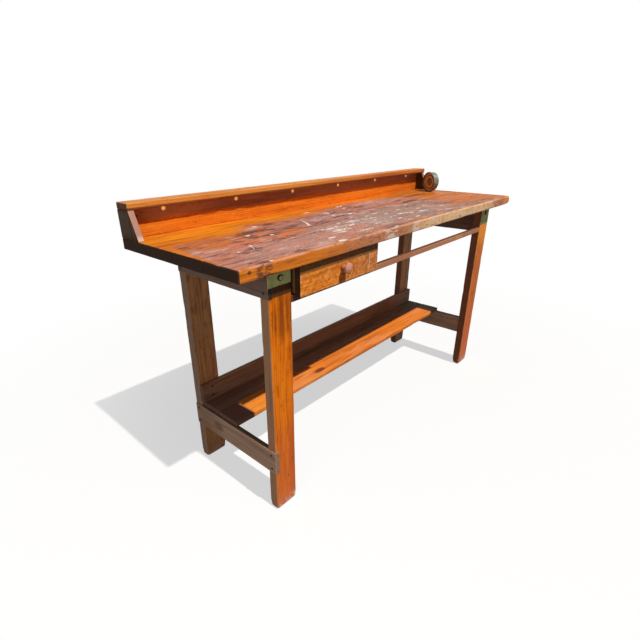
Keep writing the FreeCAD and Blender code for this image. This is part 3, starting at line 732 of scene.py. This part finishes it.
def back_shelf_wood(wood):
    """Painted shade, greenish, at its right end; darker at its left."""
    wood.layers(
        EVERYWHERE,
        (wood.along + wood.blotch.sway(0.1), 0.56, 0.66, 0.85, SHADE_GREEN, 0.7),
        (wood.along + wood.blotch.sway(0.3), -0.45, -0.65, 0.5, (112, 84, 74), 0.7))


def back_stretcher_wood(wood):
    """Greyer at its right end."""
    wood.layers(EVERYWHERE, (wood.along + wood.blotch.sway(0.3), 0.50, 0.66, 0.65, (198, 160, 138), 0.65))


SCRATCH_ALONG = -0.321


def drawer_wood(wood):
    """Mottled by hands and glue: brown spots, pale rubs, one upright scratch."""
    along, z = wood.along, wood.z
    spots = wood.noise((along * 75, wood.y * 40, z * 95), 3.0, 0.6)
    broad = wood.noise((along * 18, wood.y * 20, z * 30), 2.0, 0.6)
    wood.layers(
        EVERYWHERE,
        (spots + broad.sway(0.3), 0.51, 0.64, 0.52, (158, 79, 29), 0.5),
        (spots, 0.45, 0.33, 0.65, (255, 184, 112), 0.6))
    right_part = wood.smooth(along + broad.sway(0.1), -0.46, -0.34)
    wood.layer(right_part * 0.45, (200, 128, 82), 0.55)
    wood.layers(right_part, (spots, 0.48, 0.6, 0.5, (150, 92, 56), 0.55))
    rim = wood.smooth(wood.edge, 0.006, 0.002) * wood.smooth(wood.facing("Y"), 0.6, 0.85)
    wood.layers(rim, (spots, 0.5, 0.4, 0.7, (248, 206, 160), 0.65))
    off = along - SCRATCH_ALONG + wood.streak.sway(0.004)
    scratch = wood.spot(along, z, (SCRATCH_ALONG, TOP_Z - 0.094), (0.02, 0.03), 0.3)
    wood.layers(scratch, (off * off, 0.0000045, 0.0000012, 0.7, (250, 214, 176), 0.7))
    # Painted shade: dark where the top shades it and on its ends. Grimy under the knob
    wood.layers(
        EVERYWHERE,
        (z, TOP_Z - 0.071, TOP_Z - 0.063, 0.78, (84, 62, 40), 0.6),
        (wood.facing("X"), 0.5, 0.8, 0.92, (62, 42, 30), 0.7))
    grime = wood.spot(along, z, (-0.4645, TOP_Z - 0.087), (0.05, 0.035), 0.9)
    wood.layers(grime, (wood.blotch, 0.4, 0.7, 0.5, (140, 80, 42), 0.45))


def rail_wood(wood):
    """Rubbed at one place, paler at the right, and dark above and at its left end, which is painted shade."""
    bare = wood.spot(wood.along + wood.blotch.sway(0.05), wood.streak, (0.44, 0.5), (0.035, 0.5), 0.5)
    wood.layer(bare * 0.6, (220, 152, 98), 0.6)
    # The last two rows are painted shade: the top face and the left end are darkened
    wood.layers(
        EVERYWHERE,
        (wood.along, 0.42, 0.55, 0.45, (176, 126, 98), 0.6),
        (wood.facing("Z"), 0.6, 0.85, 0.8, (92, 56, 44), 0.75),
        (wood.along, -0.59, -0.63, 0.85, (66, 46, 36), 0.7))


# Gap beside a rail in its housing, and how soft the housing's rim is
NOTCH_SLIT = 0.0002
NOTCH_EASE = 0.0015
# Grid lines near an edge, in shares of the rounding
NEAR_EDGE = (0.0, 0.3, 0.65, 1.0, 1.35)


def lattice(low, high, radius, step, lines=()):
    """Grid lines across one side of a board: close together at its two ends and at given lines."""
    length = high - low
    near = [share * radius for share in NEAR_EDGE]
    near = [value for value in near if value < length * 0.4]
    inner = length - 2 * near[-1]
    count = max(1, math.ceil(inner / step))
    middle = [near[-1] + inner * index / count for index in range(1, count)]
    places = [low + value for value in near + middle + [length - value for value in reversed(near)]]
    kept = [place for place in places[1:-1] if all(abs(place - line) > NOTCH_EASE for line in lines)]
    return sorted(places[:1] + kept + list(lines) + places[-1:])


def add_object(name, data):
    made = bpy.data.objects.new(name, data)
    bpy.context.scene.collection.objects.link(made)
    return made


def worn_board(node, order, seed, radius=0.0022, step=0.024, wear=1.0, extra=None, bend=None, lines=None):
    """A board in a node's box: lumpy rubbed edges, shallow dents, all inside the box."""
    low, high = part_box(node)
    run = AXES.index(order[0])
    grid = []
    for axis, letter in enumerate(AXES):
        gap = step if axis == run else step * 1.2
        given = lines.get(letter, ()) if lines else ()
        grid.append(lattice(low[axis], high[axis], radius * 2.2, gap, given))
    sizes = [len(row) for row in grid]
    index_of = {}
    points = []

    def corner(key):
        if key not in index_of:
            index_of[key] = len(points)
            points.append(Vector([grid[axis][key[axis]] for axis in range(3)]))
        return index_of[key]

    faces = []
    for axis in range(3):
        one, two = (axis + 1) % 3, (axis + 2) % 3
        for end, i, j in product((0, sizes[axis] - 1), range(sizes[one] - 1), range(sizes[two] - 1)):
            loop = []
            for step_one, step_two in ((0, 0), (1, 0), (1, 1), (0, 1)):
                key = [0, 0, 0]
                key[axis], key[one], key[two] = end, i + step_one, j + step_two
                loop.append(corner(tuple(key)))
            faces.append(loop if end else loop[::-1])

    shift = Vector((seed * 3.1, seed * 1.7, seed * 2.3))
    thinnest = min(high[axis] - low[axis] for axis in range(3))
    placed = []
    for point in points:
        # Edges are rounded unevenly, and chipped here and there
        lump = noise.noise(point * 21 + shift) * 0.5 + noise.noise(point * 63 + shift) * 0.35
        chip = max(0.0, noise.noise(point * 34 - shift) - 0.42) * 5.5
        round_by = radius * (1 + wear * (0.55 * lump + chip))
        if extra:
            round_by += extra(point)
        round_by = min(max(round_by, radius * 0.35), thinnest * 0.45)
        inner = Vector([min(max(point[axis], low[axis] + round_by), high[axis] - round_by)
                        for axis in range(3)])
        out = (point - inner).normalized()
        # Faces have wide hollows and small dents
        dent = 0.00035 * (0.5 + 0.5 * noise.noise(point * 9 + shift))
        dent += 0.0007 * max(0.0, noise.noise(point * 47 + shift) - 0.25)
        spot = inner + out * (round_by - wear * dent)
        placed.append(bend(spot) if bend else spot)

    mesh = bpy.data.meshes.new(node + "_worn")
    mesh.from_pydata(placed, [], faces)
    mesh.polygons.foreach_set("use_smooth", [True] * len(faces))
    mesh.update()
    return add_object(node + "_worn", mesh)


def bore(piece, centres, radius, depth):
    """Round holes straight down through a piece."""
    rods = bmesh.new()
    for centre in centres:
        bmesh.ops.create_cone(rods, cap_ends=True, segments=40, radius1=radius, radius2=radius,
                              depth=depth, matrix=Matrix.Translation(centre))
    bits_mesh = bpy.data.meshes.new("bits")
    rods.to_mesh(bits_mesh)
    rods.free()
    bits = add_object("bits", bits_mesh)
    cut = piece.modifiers.new("bore", "BOOLEAN")
    cut.object = bits
    cut.solver = "EXACT"
    seen = piece.evaluated_get(bpy.context.evaluated_depsgraph_get())
    piece.data = bpy.data.meshes.new_from_object(seen)
    piece.modifiers.clear()
    bpy.data.objects.remove(bits)


def foot(point):
    """Feet are kicked round."""
    return 0.009 * max(0.0, 1 - point.z / 0.03)


def front_plank_wear(point):
    """Rounded front corners, the right one more, and an old chip under the front edge."""
    at_front = max(0.0, 1 - (point.y - FRONT_Y) / 0.03)
    at_left = max(0.0, 1 - (point.x - top_low.x) / 0.03)
    at_right = max(0.0, 1 - (top_high.x - point.x) / 0.05)
    below = 1.0 if point.z < TOP_Z - 0.02 else 0.0
    chip = math.exp(-((point.x - MID_X + 0.78) / 0.02) ** 2)
    return at_front * (0.001 * at_left + 0.012 * at_right + 0.007 * chip * below)


def slope_of(node):
    """The sloping front edge of an end board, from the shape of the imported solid."""
    low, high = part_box(node)
    upper = [vertex.co.y for vertex in nodes[node].data.vertices if vertex.co.z > high.z - 0.001]
    lean = min(upper) - low.y

    def bend(point):
        up = (point.z - low.z) / (high.z - low.z)
        back = (high.y - point.y) / (high.y - low.y)
        return Vector((point.x, point.y + lean * up * back, point.z))
    return bend


def sawn_end(node):
    """The right end of a top plank, which runs out towards the back."""
    low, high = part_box(node)

    def bend(point):
        share = (point.x - low.x) / (high.x - low.x)
        return Vector((point.x - share * RUN_OUT * (high.y - point.y), point.y, point.z))
    return bend


def housings(node):
    """The two housings of a leg, for the rail and the stretcher of its end: lines and bend."""
    low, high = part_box(node)
    side = node.rsplit("_", 1)[1]
    outer_x = low.x if side == "left" else high.x
    border_reach = (-NOTCH_EASE, 0.0, NOTCH_SLIT, NOTCH_EASE)
    lines = {"Z": []}
    notches = []
    for rail in ("end_rail_" + side, "end_stretcher_" + side):
        rail_low, rail_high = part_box(rail)
        for border, way in ((rail_low.z, -1), (rail_high.z, 1)):
            if border < high.z - NOTCH_EASE:
                lines["Z"] += [border + way * reach for reach in border_reach]
        if low.y < rail_low.y < high.y:
            lines["Y"] = sorted(rail_low.y - reach for reach in border_reach)
        floor_x = rail_high.x if side == "left" else rail_low.x
        notches.append((rail_low.z - NOTCH_SLIT / 2, rail_high.z + NOTCH_SLIT / 2,
                        rail_low.y - NOTCH_SLIT / 2, floor_x))
    lines["Z"].sort()

    def bend(point):
        for bottom, top, front, floor_x in notches:
            if bottom < point.z < top and point.y > front:
                start_x = floor_x + math.copysign(NOTCH_EASE, floor_x - outer_x)
                share = (point.x - outer_x) / (start_x - outer_x)
                if share < 1:
                    return Vector((floor_x + share * (start_x - floor_x), point.y, point.z))
        return point
    return {"lines": lines, "bend": bend}


def dress(node, order, colours, seed, recipe=None, board=None, grain=None, holes=None, **more):
    """A worn board with its own wood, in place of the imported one."""
    piece = worn_board(node, order, seed, **(board or {}))
    if holes:
        bore(piece, **holes)
    even = piece.modifiers.new("even_shading", "WEIGHTED_NORMAL")
    even.weight = 90
    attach(piece, body_of_node[node])
    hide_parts(node)
    wood = Wood(node + "_wood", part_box(node), order, colours, seed, **(grain or {}))
    if recipe:
        recipe(wood, **more)
    piece.data.materials.clear()
    piece.data.materials.append(wood.done())


# Bench top
for index in range(1, 5):
    node = "top_plank_%d" % index
    at_front = index == 1
    wear = {"radius": 0.0026, "wear": 1.1, "bend": sawn_end(node)}
    if at_front:
        wear.update(radius=0.0036, wear=1.2, extra=front_plank_wear)
    grain = {"worn": 0.006 if at_front else 0.0, "sawn": RUN_OUT, "end_tone": TOP_END, "end_dark": 0.95}
    dress(node, LENGTHWISE, TOP, 3.3 + index * 1.9, top_wood, wear, grain, at_front=at_front)

# Backboard with its cap and end boards
dress("backboard", LENGTHWISE_ON_EDGE, BACK, 11.2, back_wood)
dress("cap_rail", LENGTHWISE, CAP, 13.9, cap_wood, {"radius": 0.0032, "wear": 1.2},
      {"end_tone": TOP_END, "end_dark": 0.9},
      {"centres": hole_middles, "radius": TOOL_HOLE_RADIUS, "depth": 0.06})
for side, seed in (("left", 15.1), ("right", 16.4)):
    node = "end_board_" + side
    dress(node, UPRIGHT_ON_END, END_BOARDS, seed, end_board_wood, {"bend": slope_of(node), "step": 0.02},
          {"worn": 0.0, "end_dark": 0.0})

# Legs: seed, timber, then the look of their sides, partly painted shade, redness and paint
FRONT_PAINT = TOP_Z - 0.088
LEGS = {
    "leg_front_left": (21.0, LEG, {"side_tone_and_shade": (206, 160, 124), "red": 0.5, "paint_foot": FRONT_PAINT,
                                   "dull": 0.75}),
    "leg_front_right": (22.7, RIGHT_LEG, {"side_tone_and_shade": (134, 88, 68), "red": 0.5,
                                          "paint_foot": TOP_Z - 0.121, "gold": 0.8}),
    "leg_back_left": (24.1, BACK_LEG, {"side_tone_and_shade": (172, 140, 120), "red": 0.08}),
    "leg_back_right": (25.9, FAR_LEG, {"side_tone_and_shade": (140, 88, 68), "red": 0.08}),
}
for node, (seed, timber, looks) in LEGS.items():
    wear = {"radius": 0.0028, "extra": foot, **housings(node)}
    dress(node, UPRIGHT, timber, seed, leg_wood, wear, **looks)

# Rails, stretchers and shelf. The left end rail's front end is coloured like the leg around it, with its
# green paint and painted shade
dress("end_rail_left", ENDWISE_ON_EDGE, END_RAILS, 31.2, paint_front, paint_foot=FRONT_PAINT)
dress("end_rail_right", ENDWISE_ON_EDGE, END_RAILS, 32.6)
for side, seed in (("left", 33.8), ("right", 35.0)):
    dress("end_stretcher_" + side, ENDWISE_ON_EDGE, STRETCHERS, seed, stretcher_wood,
          grain={"end_dark": 0.0})
dress("shelf_plank_1", LENGTHWISE, SHELF, 41.3, shelf_wood, {"radius": 0.0024})
dress("shelf_plank_2", LENGTHWISE, BACK_SHELF, 42.6, back_shelf_wood, {"radius": 0.0024})
dress("back_stretcher", LENGTHWISE_ON_EDGE, BACK_STRETCHER, 45.5, back_stretcher_wood)
dress("front_rail", LENGTHWISE, RAIL, 47.1, rail_wood)

# Drawer front
dress("drawer_front", LENGTHWISE_ON_EDGE, DRAWER, 51.7, drawer_wood, {"radius": 0.003, "step": 0.016},
      {"worn": 0.0})

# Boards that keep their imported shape
HIDDEN = {
    "drawer_hanger_left": ENDWISE_ON_EDGE, "drawer_hanger_right": ENDWISE_ON_EDGE,
    "drawer_runner_left": ENDWISE, "drawer_runner_right": ENDWISE, "top_bearer": ENDWISE,
    "drawer_stop": LENGTHWISE_ON_EDGE, "drawer_side_left": ENDWISE_ON_EDGE,
    "drawer_side_right": ENDWISE_ON_EDGE, "drawer_back": LENGTHWISE_ON_EDGE, "drawer_bottom": ENDWISE,
}


def paint_node(node, material):
    mesh = nodes[node].data
    mesh.materials.clear()
    mesh.materials.append(material)


for count, (node, order) in enumerate(HIDDEN.items()):
    colours = HANGER_SHADE if "hanger" in node or "runner" in node else INSIDE
    paint_node(node, Wood(node + "_wood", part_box(node), order, colours, 60.0 + count * 1.7).done())


def knob_wood():
    """Turned hardwood, worn pink where it is held."""
    wood = Wood("knob_wood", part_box("drawer_knob"), ENDWISE, KNOB, 71.0, worn=0.0, end_dark=0.0)
    front_y, back_y = wood.low.y, wood.high.y
    face = wood.smooth(wood.y, front_y + 0.012, front_y + 0.004)
    wood.layer(face * 0.6, (226, 160, 138), 0.5)
    wood.layers(face, (wood.speck, 0.55, 0.7, 0.5, (170, 108, 88), 0.6))
    wood.layers(EVERYWHERE, (wood.y, back_y - 0.012, back_y - 0.002, 0.5, (96, 54, 34), 0.5))
    return wood.done()


def metal(name, base, rust, rusty, polish):
    """Old steel with rust and grime."""
    graph = Surface(name)
    patches = graph.even_noise(60, 4.0, 0.65)
    grit = graph.even_noise(900, 2.0, 0.6)
    share = graph.smooth(patches + grit.sway(0.25), rusty + 0.1, rusty - 0.1)
    colour = graph.mix(share, base, rust)
    colour = graph.mix(graph.smooth(grit, 0.55, 0.75) * 0.5, colour, (48, 36, 28))
    rough = polish + share * 0.35 + grit * 0.12
    return graph.close(colour, rough, patches * 0.4 + grit * 0.6, 0.0006, metal=0.95 - share * 0.8, sheen=0.5)


def bolt_heads():
    """Bolt heads painted over with the leg, dark around the rim."""
    graph = Surface("painted_bolt")
    heads = [vertex.co for vertex in nodes["leg_bolts"].data.vertices]
    face_y = min(point.y for point in heads)
    heads = [point for point in heads if point.y < face_y + 0.001]
    nearest = 1.0
    for hand in (-1, 1):
        ours = [point for point in heads if (point.x - MID_X) * hand > 0]
        middle = sum(ours, Vector()) / len(ours)
        nearest = graph.least(graph.distance(graph.x - middle.x, graph.z - middle.z), nearest)
    grit = graph.even_noise(700)
    ragged = nearest + grit.sway(0.002)
    rim = graph.smooth(ragged, 0.0056, 0.0066)
    centre = graph.smooth(ragged, 0.0022, 0.0014)
    colour = graph.mix(graph.most(rim, centre * 0.7), GREEN_PAINT, (70, 62, 38))
    return graph.close(colour, 0.6, grit, 0.0004)


FITTING_TURN = math.radians(25.0)
# Rings of the fitting's cover: inner and outer radius, colour
COVER_RINGS = ((0.0105, 0.0195, (96, 66, 44)), (0.0195, 0.025, (204, 146, 84)),
               (0.025, 0.0305, (244, 206, 150)), (0.0305, 0.0370, (104, 70, 46)))
RING_SOFT = 0.0008


def ringed_metal():
    """The cover of the fitting: brown rings, dark between them. Its warm browns are partly rust and partly a
    painted reflection of the orange wood around it.
    """
    graph = Surface("cover_metal")
    low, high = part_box("fitting_boss")
    middle = (low + high) / 2
    aside = (graph.x - middle.x) * math.sin(FITTING_TURN) + (graph.y - middle.y) * math.cos(FITTING_TURN)
    patches = graph.even_noise(70, 4.0, 0.65)
    radius = graph.distance(aside, graph.z - middle.z) + patches.sway(0.004)
    colour = (232, 178, 108)
    for inner, outer, band in COVER_RINGS:
        share = graph.smooth(radius, inner - RING_SOFT, inner + RING_SOFT)
        share = share * graph.smooth(radius, outer + RING_SOFT, outer - RING_SOFT)
        colour = graph.mix(share * 0.85, colour, band)
    colour = graph.mix(graph.smooth(patches, 0.5, 0.68) * 0.5, colour, (130, 84, 52))
    return graph.close(colour, 0.5 + patches * 0.2, patches, 0.0006, metal=0.1, sheen=0.4)


nail_metal = metal("nail_metal", (80, 68, 60), (60, 42, 34), 0.62, 0.5)
for node in [name for name in nodes if name.endswith("_nails")] + ["knob_screw", "fitting_screw"]:
    paint_node(node, nail_metal)
paint_node("leg_bolts", bolt_heads())
paint_node("drawer_knob", knob_wood())
paint_node("fitting_shell", metal("shell_metal", (134, 134, 124), (112, 102, 86), 0.46, 0.32))
paint_node("fitting_cover", ringed_metal())
paint_node("fitting_boss", metal("boss_metal", (176, 128, 84), (150, 96, 56), 0.6, 0.42))


# Stage: pale floor, lamps and the photograph's camera
FLOOR_HALF = 9.0
floor_mesh = bpy.data.meshes.new("floor")
floor_corners = [(x * FLOOR_HALF, y * FLOOR_HALF, 0) for x, y in ((-1, -1), (1, -1), (1, 1), (-1, 1))]
floor_mesh.from_pydata(floor_corners, [], [(0, 1, 2, 3)])
floor = add_object("floor", floor_mesh)
# Rays that show the stage itself and not its light on the bench
SHOWING = ("Is Camera Ray", "Is Glossy Ray", "Is Transmission Ray")


def floor_material():
    """White floor that keeps the shadow near the bench and turns plain white further off."""
    graph = Surface("floor_paper")
    grain = graph.noise((graph.x * 3, graph.y * 3, 0.0))
    colour = graph.mix(grain * 0.1, (250, 250, 249), (244, 243, 241))
    colour = graph.mix(graph.ray("Is Diffuse Ray"), colour, (84, 82, 80))
    matt = graph.new("ShaderNodeBsdfDiffuse", colour)
    glow = graph.new("ShaderNodeEmission")
    away = graph.distance(graph.x, graph.y)
    share = graph.ray(*SHOWING) * (graph.smooth(away, 0.7, 2.6) * 0.4 + 0.6)
    graph.new("ShaderNodeOutputMaterial", graph.blend(share, matt.outputs[0], glow.outputs[0]))
    return graph.owner


floor_mesh.materials.append(floor_material())

AMBIENT = 0.07
SKY_TINT = (0.82, 0.91, 1.0, 1.0)
world = bpy.data.worlds.new("studio")
bpy.context.scene.world = world
sky = Graph(world)
dim = sky.new("ShaderNodeBackground")
dim.inputs["Color"].default_value = SKY_TINT
dim.inputs["Strength"].default_value = AMBIENT
white = sky.new("ShaderNodeBackground", (255, 255, 255), 1.0)
sky.new("ShaderNodeOutputWorld", sky.blend(sky.ray(*SHOWING), dim.outputs[0], white.outputs[0]))


def lamp(name, place, aim, size, power, colour):
    data = bpy.data.lights.new(name, "AREA")
    data.shape = "DISK"
    data.size = size
    data.energy = power
    data.color = colour
    light = add_object(name, data)
    light.location = place
    light.rotation_euler = (aim - place).to_track_quat("-Z", "Y").to_euler()


# The key stands far off, straight in front of the bench and as high as the sun did
BENCH_MIDDLE = Vector((MID_X, 0.0, 0.6))
KEY_WAY = Vector((0.0, -1.0, 1.65)).normalized()
KEY_AWAY = 60.0
lamp("key", BENCH_MIDDLE + KEY_WAY * KEY_AWAY, BENCH_MIDDLE, 1.0, 39000.0, (1.0, 0.97, 0.93))
# A wide cool fill at the left stands for the open sky
lamp("fill", Vector((MID_X - 3.1, -1.3, 1.0)), Vector((MID_X - 0.7, 0.0, 0.5)), 1.8, 15.0, (0.92, 0.96, 1.0))

camera_data = bpy.data.cameras.new("photo_camera")
camera_data.sensor_width = 36.0
camera_data.lens = 24.008
camera_data.shift_x = 0.0371
camera_data.shift_y = 0.0216
camera_data.clip_end = 60.0
camera = add_object("photo_camera", camera_data)
CAMERA_PLACE = Vector((MID_X - 1.4916, -1.0555, 1.1752))
LOOK_ROUND = math.radians(46.0)
LOOK_DOWN = math.radians(24.53)
ROLL = math.radians(-1.06)
ahead = Vector((math.sin(LOOK_ROUND) * math.cos(LOOK_DOWN), math.cos(LOOK_ROUND) * math.cos(LOOK_DOWN),
                -math.sin(LOOK_DOWN)))
level = Vector((math.cos(LOOK_ROUND), -math.sin(LOOK_ROUND), 0.0))
upward = level.cross(ahead)
right = level * math.cos(ROLL) + upward * math.sin(ROLL)
up = upward * math.cos(ROLL) - level * math.sin(ROLL)
turn = Matrix((right, up, -ahead)).transposed().to_4x4()
camera.matrix_world = Matrix.Translation(CAMERA_PLACE) @ turn
bpy.context.scene.camera = camera
bpy.context.scene.view_settings.view_transform = "Standard"
